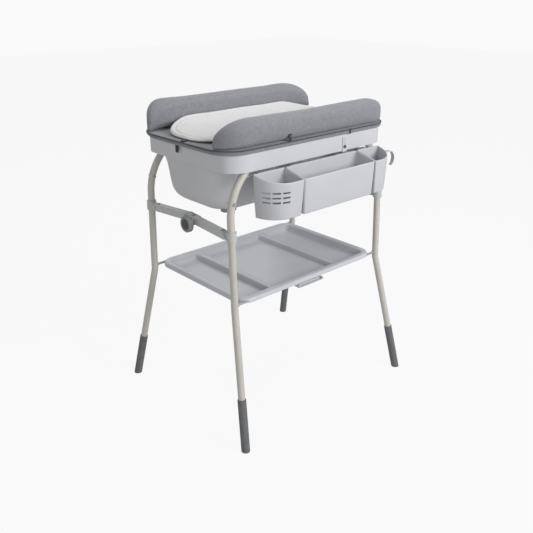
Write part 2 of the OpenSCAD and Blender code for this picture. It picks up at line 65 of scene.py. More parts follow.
def makeObject(name, points, faces, finish, fixNormals=True, sharp=None):
    mesh = bpy.data.meshes.new(name)
    mesh.from_pydata([tuple(p) for p in points], [], faces)
    if fixNormals:
        bm = bmesh.new()
        bm.from_mesh(mesh)
        bmesh.ops.remove_doubles(bm, verts=bm.verts, dist=1e-6)
        bmesh.ops.recalc_face_normals(bm, faces=bm.faces)
        bm.to_mesh(mesh)
        bm.free()
    mesh.shade_smooth()
    if sharp:
        mesh.set_sharp_from_angle(angle=math.radians(sharp))
    obj = bpy.data.objects.new(name, mesh)
    bpy.context.scene.collection.objects.link(obj)
    if finish:
        mesh.materials.append(finish)
    return obj


def ringOutline(hx, hy, r, perSide=14, perCorner=12):
    # rounded rectangle, always the same number of points, anticlockwise from the right-hand side
    r = max(1e-4, min(r, hx - 1e-4, hy - 1e-4))
    centres = [(hx - r, hy - r, 0), (r - hx, hy - r, 90), (r - hx, r - hy, 180), (hx - r, r - hy, 270)]
    out = []
    for k, (cx, cy, a0) in enumerate(centres):
        for j in range(perCorner + 1):
            a = math.radians(a0 + 90 * j / perCorner)
            out.append((cx + r * math.cos(a), cy + r * math.sin(a)))
        nx, ny, na = centres[(k + 1) % 4]
        endX, endY = out[-1]
        startX, startY = nx + r * math.cos(math.radians(na)), ny + r * math.sin(math.radians(na))
        for j in range(1, perSide + 1):
            t = j / (perSide + 1)
            out.append((mix(endX, startX, t), mix(endY, startY, t)))
    return out


def loft(rings, capStart=True, capEnd=True):
    # joins closed rings of equal length with quads
    n = len(rings[0])
    points = [p for ring in rings for p in ring]
    faces = []
    for k in range(len(rings) - 1):
        for i in range(n):
            j = (i + 1) % n
            faces.append((k * n + i, k * n + j, (k + 1) * n + j, (k + 1) * n + i))
    if capStart:
        faces.append(tuple(reversed(range(n))))
    if capEnd:
        faces.append(tuple(range((len(rings) - 1) * n, len(rings) * n)))
    return points, faces


def joinParts(parts):
    points, faces = [], []
    for p, f in parts:
        base = len(points)
        points += list(p)
        faces += [tuple(i + base for i in face) for face in f]
    return points, faces


def bakeModifiers(obj):
    # turns what the modifiers make into the object's own plain mesh
    graph = bpy.context.evaluated_depsgraph_get()
    made = bpy.data.meshes.new_from_object(obj.evaluated_get(graph))
    obj.modifiers.clear()
    old = obj.data
    obj.data = made
    bpy.data.meshes.remove(old)
    return obj


# ---------- finishes ----------


def startFinish(name, colour, roughness, metallic=0.0):
    finish = bpy.data.materials.new(name)
    finish.use_nodes = True
    tree = finish.node_tree
    tree.nodes.clear()
    out = tree.nodes.new("ShaderNodeOutputMaterial")
    shader = tree.nodes.new("ShaderNodeBsdfPrincipled")
    shader.inputs["Base Color"].default_value = (*colour, 1)
    shader.inputs["Roughness"].default_value = roughness
    shader.inputs["Metallic"].default_value = metallic
    tree.links.new(shader.outputs[0], out.inputs[0])
    place = tree.nodes.new("ShaderNodeTexCoord")
    return finish, tree, shader, place.outputs["Object"]


def stretched(tree, coord, scale):
    node = tree.nodes.new("ShaderNodeMapping")
    node.inputs["Scale"].default_value = scale
    tree.links.new(coord, node.inputs["Vector"])
    return node.outputs["Vector"]


def noiseOf(tree, coord, scale, detail=3.0, rough=0.5):
    node = tree.nodes.new("ShaderNodeTexNoise")
    node.inputs["Scale"].default_value = scale
    node.inputs["Detail"].default_value = detail
    node.inputs["Roughness"].default_value = rough
    tree.links.new(coord, node.inputs["Vector"])
    return node.outputs["Fac"]


def rampOf(tree, value, stops):
    node = tree.nodes.new("ShaderNodeValToRGB")
    ramp = node.color_ramp
    while len(ramp.elements) < len(stops):
        ramp.elements.new(0.5)
    for element, (at, colour) in zip(ramp.elements, stops):
        element.position = at
        element.color = (*colour, 1)
    tree.links.new(value, node.inputs["Fac"])
    return node.outputs["Color"]


def bumpOf(tree, shader, height, strength, distance):
    node = tree.nodes.new("ShaderNodeBump")
    node.inputs["Strength"].default_value = strength
    node.inputs["Distance"].default_value = distance
    tree.links.new(height, node.inputs["Height"])
    tree.links.new(node.outputs[0], shader.inputs["Normal"])
    return node


def addMath(tree, kind, a, b):
    node = tree.nodes.new("ShaderNodeMath")
    node.operation = kind
    for k, v in enumerate((a, b)):
        if isinstance(v, (int, float)):
            node.inputs[k].default_value = v
        else:
            tree.links.new(v, node.inputs[k])
    return node.outputs[0]


def shade(colour, k):
    return tuple(min(1.0, c * k) for c in colour)


def mouldedPlastic(name, colour, roughness, grain=0.05):
    # satin moulded plastic: fine spark-eroded grain and faint flow marks
    finish, tree, shader, coord = startFinish(name, colour, roughness)
    flow = noiseOf(tree, coord, 7.0, 4.0)
    tint = rampOf(tree, flow, [(0.3, shade(colour, 0.965)), (0.7, shade(colour, 1.03))])
    tree.links.new(tint, shader.inputs["Base Color"])
    grainNoise = noiseOf(tree, coord, 1400.0, 2.0)
    smear = noiseOf(tree, coord, 24.0, 3.0)
    rough = addMath(tree, "MULTIPLY_ADD", smear, 0.12)
    rough.node.inputs[2].default_value = roughness - 0.06
    tree.links.new(rough, shader.inputs["Roughness"])
    bumpOf(tree, shader, grainNoise, grain, 0.0004)
    shader.inputs["Specular IOR Level"].default_value = 0.45
    return finish


def powderPaint(name, colour, roughness):
    # powder-coated tube: slight orange peel and faint scuffs
    finish, tree, shader, coord = startFinish(name, colour, roughness)
    peel = noiseOf(tree, coord, 420.0, 2.0)
    scuff = noiseOf(tree, stretched(tree, coord, (60, 60, 9)), 1.0, 5.0, 0.65)
    tint = rampOf(tree, scuff, [(0.35, shade(colour, 0.95)), (0.65, shade(colour, 1.03))])
    tree.links.new(tint, shader.inputs["Base Color"])
    rough = addMath(tree, "MULTIPLY_ADD", scuff, 0.16)
    rough.node.inputs[2].default_value = roughness - 0.08
    tree.links.new(rough, shader.inputs["Roughness"])
    bumpOf(tree, shader, peel, 0.12, 0.0006)
    shader.inputs["Coat Weight"].default_value = 0.15
    shader.inputs["Coat Roughness"].default_value = 0.25
    return finish


def turnedSteel(name, colour, roughness):
    finish, tree, shader, coord = startFinish(name, colour, roughness, 1.0)
    lines = noiseOf(tree, stretched(tree, coord, (900, 60, 60)), 1.0, 2.0)
    tint = rampOf(tree, lines, [(0.3, shade(colour, 0.85)), (0.7, shade(colour, 1.08))])
    tree.links.new(tint, shader.inputs["Base Color"])
    bumpOf(tree, shader, lines, 0.15, 0.0003)
    return finish


def softRubber(name, colour, roughness):
    finish, tree, shader, coord = startFinish(name, colour, roughness)
    dust = noiseOf(tree, coord, 55.0, 5.0, 0.6)
    tint = rampOf(tree, dust, [(0.35, shade(colour, 0.86)), (0.7, shade(colour, 1.12))])
    tree.links.new(tint, shader.inputs["Base Color"])
    fine = noiseOf(tree, coord, 1900.0, 2.0)
    bumpOf(tree, shader, fine, 0.25, 0.0004)
    shader.inputs["Specular IOR Level"].default_value = 0.3
    return finish


def melangeCloth(name, dark, light, threads=1500.0):
    # two-tone cloth: pale and dark fibres mixed along warp and weft, with a fine plain weave in relief
    finish, tree, shader, coord = startFinish(name, light, 0.9)
    warp = noiseOf(tree, stretched(tree, coord, (0.16, 1.0, 1.0)), threads * 1.1, 2.0, 0.7)
    weft = noiseOf(tree, stretched(tree, coord, (1.0, 0.16, 0.16)), threads * 1.1, 2.0, 0.7)
    fibres = addMath(tree, "ADD", warp, weft)
    broad = noiseOf(tree, coord, 90.0, 4.0, 0.6)
    both = addMath(tree, "MULTIPLY_ADD", broad, 0.35)
    tree.links.new(fibres, both.node.inputs[2])
    span = addMath(tree, "MULTIPLY", both, 0.5)
    tint = rampOf(tree, span, [(0.40, dark), (0.585, mixColour(dark, light, 0.5)), (0.77, light)])
    tree.links.new(tint, shader.inputs["Base Color"])
    wave = []
    for axis in ("X", "Y", "Z"):
        node = tree.nodes.new("ShaderNodeTexWave")
        node.bands_direction = axis
        node.inputs["Scale"].default_value = threads / 6.2832
        node.inputs["Distortion"].default_value = 0.6
        node.inputs["Detail Scale"].default_value = 3.0
        tree.links.new(coord, node.inputs["Vector"])
        wave.append(node.outputs["Fac"])
    weave = addMath(tree, "ADD", addMath(tree, "ADD", wave[0], wave[1]), wave[2])
    height = addMath(tree, "MULTIPLY_ADD", weave, 0.4)
    tree.links.new(fibres, height.node.inputs[2])
    bumpOf(tree, shader, height, 0.24, 0.0005)
    shader.inputs["Sheen Weight"].default_value = 0.35
    shader.inputs["Sheen Roughness"].default_value = 0.45
    shader.inputs["Specular IOR Level"].default_value = 0.15
    return finish


def mixColour(a, b, t):
    return tuple(mix(x, y, t) for x, y in zip(a, b))


def padCloth(name, colour):
    # brushed cotton knit with faint embossed arcs
    finish, tree, shader, coord = startFinish(name, colour, 0.85)
    knit = noiseOf(tree, coord, 900.0, 2.0, 0.6)
    broad = noiseOf(tree, coord, 16.0, 4.0, 0.55)
    tint = rampOf(tree, broad, [(0.3, shade(colour, 0.955)), (0.7, shade(colour, 1.02))])
    tree.links.new(tint, shader.inputs["Base Color"])
    rings = tree.nodes.new("ShaderNodeTexWave")
    rings.wave_type = "RINGS"
    rings.rings_direction = "Z"
    rings.inputs["Scale"].default_value = 7.5
    rings.inputs["Distortion"].default_value = 1.2
    rings.inputs["Detail Scale"].default_value = 1.5
    moved = tree.nodes.new("ShaderNodeMapping")
    moved.inputs["Location"].default_value = (0.19, 0.03, 0)
    tree.links.new(coord, moved.inputs["Vector"])
    tree.links.new(moved.outputs[0], rings.inputs["Vector"])
    line = addMath(tree, "POWER", rings.outputs["Fac"], 9.0)
    height = addMath(tree, "MULTIPLY_ADD", line, -1.6)
    tree.links.new(knit, height.node.inputs[2])
    bumpOf(tree, shader, height, 0.4, 0.0011)
    shader.inputs["Sheen Weight"].default_value = 0.25
    shader.inputs["Specular IOR Level"].default_value = 0.2
    return finish


finishes = {
    "frame": powderPaint("warmGreyPaint", (0.60, 0.575, 0.53), 0.36),
    "link": powderPaint("linkGreyPaint", (0.56, 0.565, 0.57), 0.42),
    "rod": powderPaint("rodGreyPaint", (0.40, 0.40, 0.41), 0.35),
    "steel": turnedSteel("pinSteel", (0.62, 0.62, 0.63), 0.32),
    "sleeve": softRubber("sleeveGrey", (0.172, 0.175, 0.184), 0.55),
    "shell": mouldedPlastic("shellGrey", (0.625, 0.63, 0.655), 0.38),
    "tray": mouldedPlastic("trayGrey", (0.62, 0.635, 0.67), 0.20, 0.02),
    "bin": mouldedPlastic("binGrey", (0.575, 0.58, 0.61), 0.42),
    "hub": mouldedPlastic("hubDark", (0.085, 0.088, 0.092), 0.5, 0.12),
    "tyre": softRubber("tyreGrey", (0.31, 0.315, 0.325), 0.6),
    "rubberFoot": softRubber("footGrey", (0.34, 0.345, 0.36), 0.65),
    "board": mouldedPlastic("boardDark", (0.045, 0.046, 0.052), 0.55, 0.1),
    "cloth": melangeCloth("melangeGrey", (0.150, 0.154, 0.168), (0.350, 0.358, 0.388)),
    "piping": melangeCloth("pipingGrey", (0.022, 0.023, 0.027), (0.11, 0.113, 0.125), 900.0),
    "thread": softRubber("threadGrey", (0.30, 0.305, 0.33), 0.8),
    "pad": padCloth("padWhite", (0.71, 0.71, 0.705)),
    "padThread": softRubber("padThread", (0.62, 0.62, 0.62), 0.8),
    "strap": melangeCloth("strapGrey", (0.018, 0.019, 0.022), (0.07, 0.072, 0.08), 900.0),
    "pull": mouldedPlastic("pullBlue", (0.05, 0.06, 0.12), 0.35, 0.05),
}
nodeFinish = {
    "frame": ["back_rail", "front_rail", "back_left_leg", "back_right_leg", "front_left_leg", "front_right_leg"],
    "rod": ["back_tray_rod", "front_tray_rod", "bin_bar"],
    "link": ["back_left_collar", "back_right_collar", "front_left_collar", "front_right_collar",
             "left_rear_link", "left_front_link", "right_rear_link", "right_front_link",
             "tray_front_clips", "tray_back_clips"],
    "steel": ["back_rail_plugs", "front_rail_plugs", "back_frame_pins", "front_frame_pins", "back_collar_pins",
              "front_collar_pins", "left_knee_pin", "right_knee_pin", "left_wheel_axle", "right_wheel_axle"],
    "sleeve": ["back_left_foot", "back_right_foot", "front_left_foot", "front_right_foot"],
    "shell": ["bath_tub", "tub_clips", "mat_lugs", "tub_latch"],
    "tray": ["storage_tray", "tray_handle"],
    "bin": ["left_cup", "mid_bin", "right_cup", "bag_hook"],
    "tyre": ["left_wheel", "right_wheel"],
    "hub": ["left_wheel_hub", "right_wheel_hub", "latch_button"],
    "rubberFoot": ["tub_feet"],
    "board": ["mat_board", "mat_hinge"],
    "cloth": ["mat_base", "bolster_front", "bolster_back"],
    "strap": ["pad_strap"],
    "pad": ["loose_pad"],
}
for finishName, names in nodeFinish.items():
    for nodeName in names:
        mesh = nodes[nodeName].data
        mesh.materials.clear()
        mesh.materials.append(finishes[finishName])
print("finishes made:", len(finishes))

# ---------- bath tub ----------
# half sizes, metres; the band hangs over the rails at front and back and runs flush into the end walls
tub = {
    "rimX": 0.342, "rimY": 0.216, "rimR": 0.080, "top": 0.8964, "band": 0.056, "wall": 0.0035,
    "levels": [  # height, half length, half depth, corner radius of the outside of the bowl
        (0.702, 0.268, 0.097, 0.045), (0.7024, 0.275, 0.104, 0.052), (0.7045, 0.284, 0.1095, 0.056),
        (0.709, 0.292, 0.117, 0.062), (0.716, 0.302, 0.1245, 0.070), (0.726, 0.3125, 0.132, 0.078),
        (0.742, 0.320, 0.1405, 0.084), (0.765, 0.3225, 0.149, 0.090), (0.790, 0.3245, 0.155, 0.094),
        (0.815, 0.3265, 0.161, 0.096), (0.8404, 0.330, 0.169, 0.096)],
    "slotX": (0.168, 0.284), "sideStart": 0.128, "sideEnd": 0.190,
}


def bandDepth(x, y):
    # full depth of the hanging band, less where the back rail's bends swing through
    if y > 0.19 and tub["slotX"][0] - 0.004 < abs(x) < tub["slotX"][1] + 0.004:
        inside = smooth(tub["slotX"][0] - 0.004, tub["slotX"][0] + 0.004, abs(x))
        inside *= 1 - smooth(tub["slotX"][1] - 0.004, tub["slotX"][1] + 0.004, abs(x))
        return mix(tub["band"], 0.004, inside)
    return tub["band"]


def buildTub():
    rim = ringOutline(tub["rimX"], tub["rimY"], tub["rimR"], 44, 16)
    rimIn = ringOutline(tub["rimX"] - 0.0035, tub["rimY"] - 0.0035, tub["rimR"] - 0.0035, 44, 16)
    wallTop = ringOutline(0.3365, 0.1745, 0.096, 44, 16)
    last = tub["levels"][-1]
    wallBand = ringOutline(last[1], last[2], last[3], 44, 16)
    top, wall = tub["top"], tub["wall"]
    rings = []
    for z, hx, hy, r in tub["levels"][:-1]:
        rings.append([(x, y, z) for x, y in ringOutline(hx, hy, r, 44, 16)])
    up, over, inner, edge, outer, body = [], [], [], [], [], []
    for k in range(len(rim)):
        (rx, ry), (ix, iy), (wx, wy), (bx, by) = rim[k], rimIn[k], wallTop[k], wallBand[k]
        side = smooth(tub["sideStart"], tub["sideEnd"], abs(ry))   # 1 at front and back, 0 at the ends
        low = top - bandDepth(rx, ry)
        zb = top - tub["band"]
        chan = mix(zb + 0.0006, top - wall - 0.003, side)
        up.append((bx, by, zb))
        over.append((mix(bx, wx, side), mix(by, wy, side), chan))
        inner.append((mix(bx, ix, side), mix(by, iy, side), max(chan - 0.001, low) if side > 0.5 else chan))
        edge.append((mix(bx, ix, side), mix(by, iy, side), mix(zb + 0.0007, low + 0.0006, side)))
        outer.append((mix(bx, rx, side), mix(by, ry, side), mix(zb + 0.0012, low + 0.0004, side)))
        body.append((mix(mix(bx, rx, 0.12), rx, side), mix(mix(by, ry, 0.12), ry, side),
                     mix(zb + 0.006, low + 0.003, side)))
    rings += [up, over, inner, edge, outer, body]
    rimCurve = ((0.030, 0.0), (0.012, 0.0), (0.006, 0.0002), (0.0030, 0.0009), (0.0012, 0.0022), (0.0003, 0.0040),
                (0.0, 0.0065))
    for drop, back in rimCurve:
        line = ringOutline(tub["rimX"] - back, tub["rimY"] - back, tub["rimR"] - back, 44, 16)
        rings.append([])
        for (x, y), (bx, by), (rx, ry) in zip(line, wallBand, rim):
            side = smooth(tub["sideStart"], tub["sideEnd"], abs(ry))
            deep = min(drop, bandDepth(rx, ry) - 0.0025) if drop > 0.01 else drop
            lean = (1 - side) * min(1.0, drop / tub["band"])
            rings[-1].append((mix(x, bx, lean), mix(y, by, lean), top - deep))
    # inside wall, a wall's thickness in from the outside
    for back, drop in ((0.0, 0.0), (0.0025, 0.0006), (0.0045, 0.003)):
        line = ringOutline(0.3365 + 0.0015 - back, 0.1745 - back, 0.096 - back, 44, 16)
        rings.append([(x, y, top - drop) for x, y in line])
    rings.append([(x, y, 0.866) for x, y in ringOutline(0.3315, 0.1702, 0.0915, 44, 16)])
    for z, hx, hy, r in reversed(tub["levels"]):
        lift = wall if z < 0.71 else wall * (0.715 / max(z, 0.715)) * 0.4
        rings.append([(x, y, z + lift) for x, y in ringOutline(hx - wall, hy - wall, r - wall * 0.8, 44, 16)])
    obj = makeObject("tubShell", *loft(rings), finishes["shell"], sharp=48)
    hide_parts("bath_tub")
    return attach(obj, "tub")


buildTub()
print("tub built")

# ---------- storage tray ----------
tray = {
    "x": 0.301, "y": 0.2184, "r": 0.046, "top": 0.455, "bottom": 0.4264,
    "floor": 0.4290, "ridges": [(-0.149, 0.0115), (0.141, 0.0115)],
}


def buildTray():
    x, y, r, top = tray["x"], tray["y"], tray["r"], tray["top"]

    def at(inset, z, extra=0.0):
        return [(px, py, z) for px, py in ringOutline(x - inset, y - inset - extra, max(r - inset, 0.012), 30, 12)]

    under = [at(0.060, tray["bottom"], 0.0), at(0.034, tray["bottom"], 0.0), at(0.0275, tray["bottom"] + 0.0010),
             at(0.0235, tray["bottom"] + 0.0045), at(0.0215, tray["bottom"] + 0.012), at(0.0185, top - 0.0060),
             at(0.0165, top - 0.0036), at(0.0120, top - 0.0030), at(0.0055, top - 0.0042), at(0.0030, top - 0.0068),
             at(0.0022, top - 0.0138)]
    lip = [at(0.0010, top - 0.0146), at(0.0, top - 0.0138), at(0.0, top - 0.0060), at(0.0008, top - 0.0034),
           at(0.0028, top - 0.0014), at(0.0056, top - 0.0003), at(0.0090, top), at(0.0190, top - 0.0001),
           at(0.0222, top - 0.0010), at(0.0240, top - 0.0034), at(0.0250, top - 0.0070), at(0.0280, tray["floor"] + 0.0090),
           at(0.0298, tray["floor"] + 0.0040), at(0.0330, tray["floor"] + 0.0012), at(0.0380, tray["floor"]),
           at(0.060, tray["floor"])]
    parts = [loft(under + lip)]
    # the two raised partitions, swept from front to back
    profile = [(-1.0, 0.0), (-0.86, 0.25), (-0.74, 0.82), (-0.58, 0.97), (-0.3, 1.0), (0.3, 1.0),
               (0.58, 0.97), (0.74, 0.82), (0.86, 0.25), (1.0, 0.0)]
    for centre, half in tray["ridges"]:
        rings = []
        steps = 26
        reach = y - 0.0255
        for s in range(steps + 1):
            along = mix(-reach, reach, s / steps)
            flare = 1 + 0.55 * smooth(0.93, 1.0, abs(along) / reach)
            tall = (tray["top"] - 0.009 - tray["floor"]) * (1 + 0.12 * smooth(0.94, 1.0, abs(along) / reach))
            rings.append([(centre + u * half * 1.35 * flare, along, tray["floor"] - 0.001 + v * tall) for u, v in profile])
        parts.append(loft(rings))
    obj = makeObject("trayShell", *joinParts(parts), finishes["tray"], sharp=50)
    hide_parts("storage_tray")
    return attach(obj, "tray")


buildTray()
print("tray built")

# ---------- containers ----------
bins = {
    "back": 0.21295, "deep": 0.084, "floor": 0.704, "top": 0.832, "drop": 0.020, "wall": 0.0026,
    "x0": -0.127, "x1": 0.186, "cupLeft": 0.122, "cupRight": 0.106,
}


def wallPlan(kind, grow):
    # plan of a container grown outwards by grow; anticlockwise from the back right corner
    b = bins
    back, front = -b["back"] + grow, -b["back"] - b["deep"] - grow
    if kind == "mid":
        outline = ringOutline((b["x1"] - b["x0"]) / 2 + grow, b["deep"] / 2 + grow, 0.010 + grow, 24, 8)
        cx, cy = (b["x0"] + b["x1"]) / 2, -b["back"] - b["deep"] / 2
        return [(cx + px, cy + py) for px, py in outline]
    wide = b["cupLeft"] if kind == "left" else b["cupRight"]
    radius = b["deep"] - 0.006
    x1, x0 = grow, -wide - grow
    pts = []
    small = 0.0035 + max(0, grow)
    for a in range(0, 91, 15):      # back right corner
        pts.append((x1 - small + small * math.cos(math.radians(a)), back - small + small * math.sin(math.radians(a))))
    for s in range(1, 14):
        pts.append((mix(x1 - small, x0 + small, s / 14), back))
    for a in range(90, 181, 15):    # back left corner
        pts.append((x0 + small + small * math.cos(math.radians(a)), back - small + small * math.sin(math.radians(a))))
    big = radius + grow
    cyy = front + big
    for a in range(180, 271, 4):
        pts.append((x0 + big + big * math.cos(math.radians(a)), cyy + big * math.sin(math.radians(a))))
    for s in range(1, 8):
        pts.append((mix(x0 + big, x1 - small, s / 8), front))
    for a in range(270, 361, 15):
        pts.append((x1 - small + small * math.cos(math.radians(a)), front + small + small * math.sin(math.radians(a))))
    if kind == "left":
        return [(px + b["x0"] - 0.002, py) for px, py in pts]
    return [(-px + b["x1"] + 0.002, py) for px, py in reversed(pts)]


def rimHeight(y):
    t = (-bins["back"] - y) / bins["deep"]
    return bins["top"] - bins["drop"] * min(1.0, max(0.0, t)) - 0.0005


def buildContainer(name, kind, node, body):
    b = bins
    rings = []

    def level(grow, z):
        rings.append([(px, py, z) for px, py in wallPlan(kind, grow)])

    def rimLevel(grow, below):
        rings.append([(px, py, rimHeight(py) - below) for px, py in wallPlan(kind, grow)])

    floor = b["floor"]
    for grow, z in ((-0.0130, 0.0), (-0.0085, 0.0), (-0.0068, 0.0006), (-0.0054, 0.0022), (-0.0047, 0.0050),
                    (-0.0020, 0.05)):
        level(grow, floor + z)
    for grow, below in ((0.0, 0.0060), (0.0, 0.0016), (-0.0004, 0.0006), (-0.0010, 0.0), (-0.0017, 0.0),
                        (-0.0023, 0.0006), (-0.0026, 0.0016), (-0.0027, 0.0060)):
        rimLevel(grow, below)
    for grow, z in ((-0.0047, 0.05), (-0.0074, 0.0090), (-0.0086, 0.0052), (-0.0105, 0.0034), (-0.0135, 0.0030)):
        level(grow, floor + z)
    obj = makeObject(name, *loft(rings), finishes["bin"])
    if kind == "left":
        cutSlots(obj)
    addHangers(obj, kind)
    obj.data.set_sharp_from_angle(angle=math.radians(38))
    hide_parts(node)
    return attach(obj, body)


def capsule(length, height, depth, steps=8):
    # slot cutter: a rounded bar, its length along x and its depth along y
    half = length / 2 - height / 2
    outline = []
    for k in range(steps + 1):
        a = math.radians(-90 + 180 * k / steps)
        outline.append((half + height / 2 * math.cos(a), height / 2 * math.sin(a)))
    for k in range(steps + 1):
        a = math.radians(90 + 180 * k / steps)
        outline.append((-half + height / 2 * math.cos(a), height / 2 * math.sin(a)))
    return loft([[(x, -depth / 2, z) for x, z in outline], [(x, depth / 2, z) for x, z in outline]])


cupSlots = {
    "rows": 3, "columns": 3, "rowGap": 0.0140, "height": 0.0056, "length": 0.0250, "firstRow": 0.052, "turn": -128.0,
    "step": 22.5,
}


def cutSlots(obj):
    b = bins
    big = b["deep"] - 0.006
    cx = b["x0"] - 0.002 - b["cupLeft"] + big
    cy = -b["back"] - b["deep"] + big
    parts = []
    for row in range(cupSlots["rows"]):
        for column in range(cupSlots["columns"]):
            a = math.radians(cupSlots["turn"] + (column - 1) * cupSlots["step"])
            points, faces = capsule(cupSlots["length"], cupSlots["height"], 0.02)
            z = b["floor"] + cupSlots["firstRow"] + row * cupSlots["rowGap"]
            placed = []
            for x, y, h in points:
                radial, along = big + y, x
                placed.append((cx + radial * math.cos(a) - along * math.sin(a),
                               cy + radial * math.sin(a) + along * math.cos(a), z + h))
            parts.append((placed, faces))
    cutter = makeObject("slotCutter", *joinParts(parts), None)
    cut = obj.modifiers.new("slots", "BOOLEAN")
    cut.object = cutter
    cut.solver = "EXACT"
    bakeModifiers(obj)
    bpy.data.objects.remove(cutter)


def arcPoint(cy, cz, radius, degrees):
    return cy + radius * math.cos(math.radians(degrees)), cz + radius * math.sin(math.radians(degrees))


def addHangers(obj, kind):
    # curved straps from the back wall over the bar
    barY, barZ, r = -0.19745, 0.823, 0.0046
    spots = {"left": [(-0.193, 0.060)], "mid": [(-0.067, 0.060), (0.126, 0.060)],
             "right": [(0.222, 0.040)]}[kind]
    parts = []
    for x, wide in spots:
        outer = [arcPoint(barY, barZ, r + 0.0040, a) for a in range(90, -11, -10)]
        inner = [arcPoint(barY, barZ, r, a) for a in range(-10, 91, 10)]
        wallY = -bins["back"] - 0.0015
        section = outer + inner + [(wallY, barZ + r), (wallY, barZ + r + 0.0040)]
        parts.append(loft([[(x - wide / 2, y, z) for y, z in section], [(x + wide / 2, y, z) for y, z in section]]))
    points, faces = joinParts(parts)
    straps = makeObject("straps", points, faces, finishes["bin"])
    bm = bmesh.new()
    bm.from_mesh(obj.data)
    bm.from_mesh(straps.data)
    bm.to_mesh(obj.data)
    bm.free()
    bpy.data.objects.remove(straps)


buildContainer("cupLeft", "left", "left_cup", "left_cup")
buildContainer("binMiddle", "mid", "mid_bin", "mid_bin")
buildContainer("cupRight", "right", "right_cup", "right_cup")
print("containers built")

# ---------- padded mat ----------


def puff(obj, voxel, cap, pressure=4.0, keepBelow=None):
    # remeshes a soft form, swells it with cloth pressure, and limits how far any point moves
    shrink = obj.modifiers.new("even", "REMESH")
    shrink.mode = "VOXEL"
    shrink.voxel_size = voxel
    bakeModifiers(obj)
    count = len(obj.data.vertices)
    rest = np.zeros(count * 3, np.float64)
    obj.data.vertices.foreach_get("co", rest)
    rest = rest.reshape(-1, 3)
    cloth = obj.modifiers.new("cloth", "CLOTH")
    cloth.settings.quality = 5
    cloth.settings.mass = 0.25
    cloth.settings.tension_stiffness = 12
    cloth.settings.compression_stiffness = 12
    cloth.settings.shear_stiffness = 5
    cloth.settings.bending_stiffness = 0.4
    cloth.settings.use_pressure = True
    cloth.settings.uniform_pressure_force = pressure
    cloth.settings.effector_weights.gravity = 0
    cloth.collision_settings.use_collision = False
    cloth.point_cache.frame_start = 1
    cloth.point_cache.frame_end = 20
    for step in range(1, 21):
        bpy.context.scene.frame_set(step)
    graph = bpy.context.evaluated_depsgraph_get()
    swollen = obj.evaluated_get(graph).data
    moved = np.zeros(count * 3, np.float64)
    swollen.vertices.foreach_get("co", moved)
    moved = moved.reshape(-1, 3)
    obj.modifiers.clear()
    shift = moved - rest
    far = np.linalg.norm(shift, axis=1, keepdims=True)
    shift *= np.minimum(1.0, cap / np.maximum(far, 1e-9))
    if keepBelow is not None:
        flat = rest[:, 2] < keepBelow
        shift[flat, 2] = np.maximum(shift[flat, 2], 0)
    obj.data.vertices.foreach_set("co", (rest + shift).ravel())
    obj.data.update()
    bpy.context.scene.frame_set(1)
    finer = obj.modifiers.new("finer", "SUBSURF")
    finer.levels = 1
    finer.render_levels = 1
    bakeModifiers(obj)
    obj.data.shade_smooth()
    return obj


def crease(obj, depth, scale, seed):
    # long shallow wrinkles pressed along the cloth
    co = readPoints(obj.data)
    normals = np.array([v.normal[:] for v in obj.data.vertices])
    for k, p in enumerate(co):
        n = noise.noise(Vector((p[0] * scale[0] + seed, p[1] * scale[1], p[2] * scale[2])))
        n2 = noise.noise(Vector((p[0] * scale[0] * 2.7 + seed, p[1] * scale[1] * 2.3, p[2] * scale[2] * 2.1 + 7)))
        co[k] = p + normals[k] * depth * (n + 0.45 * n2)
    writePoints(obj.data, co)


bolster = {
    "endX": 0.349, "inner": 0.150, "outer": 0.2195, "corner": 0.086, "bottom": 0.9068,
    "frontTop": 0.9855, "backTop": 1.0000,
    "frontEnds": (0.112, 0.104), "backEnds": (0.074, 0.126), "tip": 0.24, "cap": 0.004,
}


def bolsterForm(side, shrink):
    # follows the mat's rounded corners in plan and slopes down towards its ends
    b = bolster
    tall = (b["backTop"] if side > 0 else b["frontTop"]) - b["bottom"] - shrink
    steps = [math.radians(a) for a in (88, 84, 79, 73, 66, 58, 49, 40, 30, 20, 10, 0)]
    stations = []
    for hand, length in zip((-1, 1), b["backEnds"] if side > 0 else b["frontEnds"]):
        flat = b["endX"] - 0.005 - length
        part = [(hand * (b["endX"] - shrink), 0.30, b["tip"] * 0.45),
                (hand * (b["endX"] - 0.0015 - shrink), 0.72, b["tip"] * 0.8)]
        for a in steps:
            slope = b["tip"] + (1 - b["tip"]) * math.cos(a) ** 0.9
            part.append((hand * (flat + length * math.sin(a)), 1.0, slope))
        stations.append(part)
    left, right = stations
    middle = [(mix(left[-1][0], right[-1][0], k / 30), 1.0, 1.0) for k in range(1, 30)]
    rings = []
    for x, wide, h in left + middle + right[::-1]:
        past = max(0.0, abs(x) - (b["endX"] + 0.002 - b["corner"]))
        outer = b["outer"] - b["corner"] + math.sqrt(max(0.0, b["corner"] ** 2 - past ** 2))
        outer = max(outer, b["inner"] + 0.016)
        half = ((outer - b["inner"]) / 2 - shrink) * wide
        centre = (outer + b["inner"]) / 2
        high = max(0.006, tall * h)
        ring = []
        for k in range(40):
            a = 2 * math.pi * k / 40
            c, t = math.cos(a), math.sin(a)
            px = math.copysign(abs(c) ** 0.72, c) * half
            pz = (math.copysign(abs(t) ** (0.80 if t > 0 else 0.35), t) * 0.5 + 0.5) * high
            ring.append((x, side * centre + px, b["bottom"] + pz))
        rings.append(ring)
    return loft(rings)


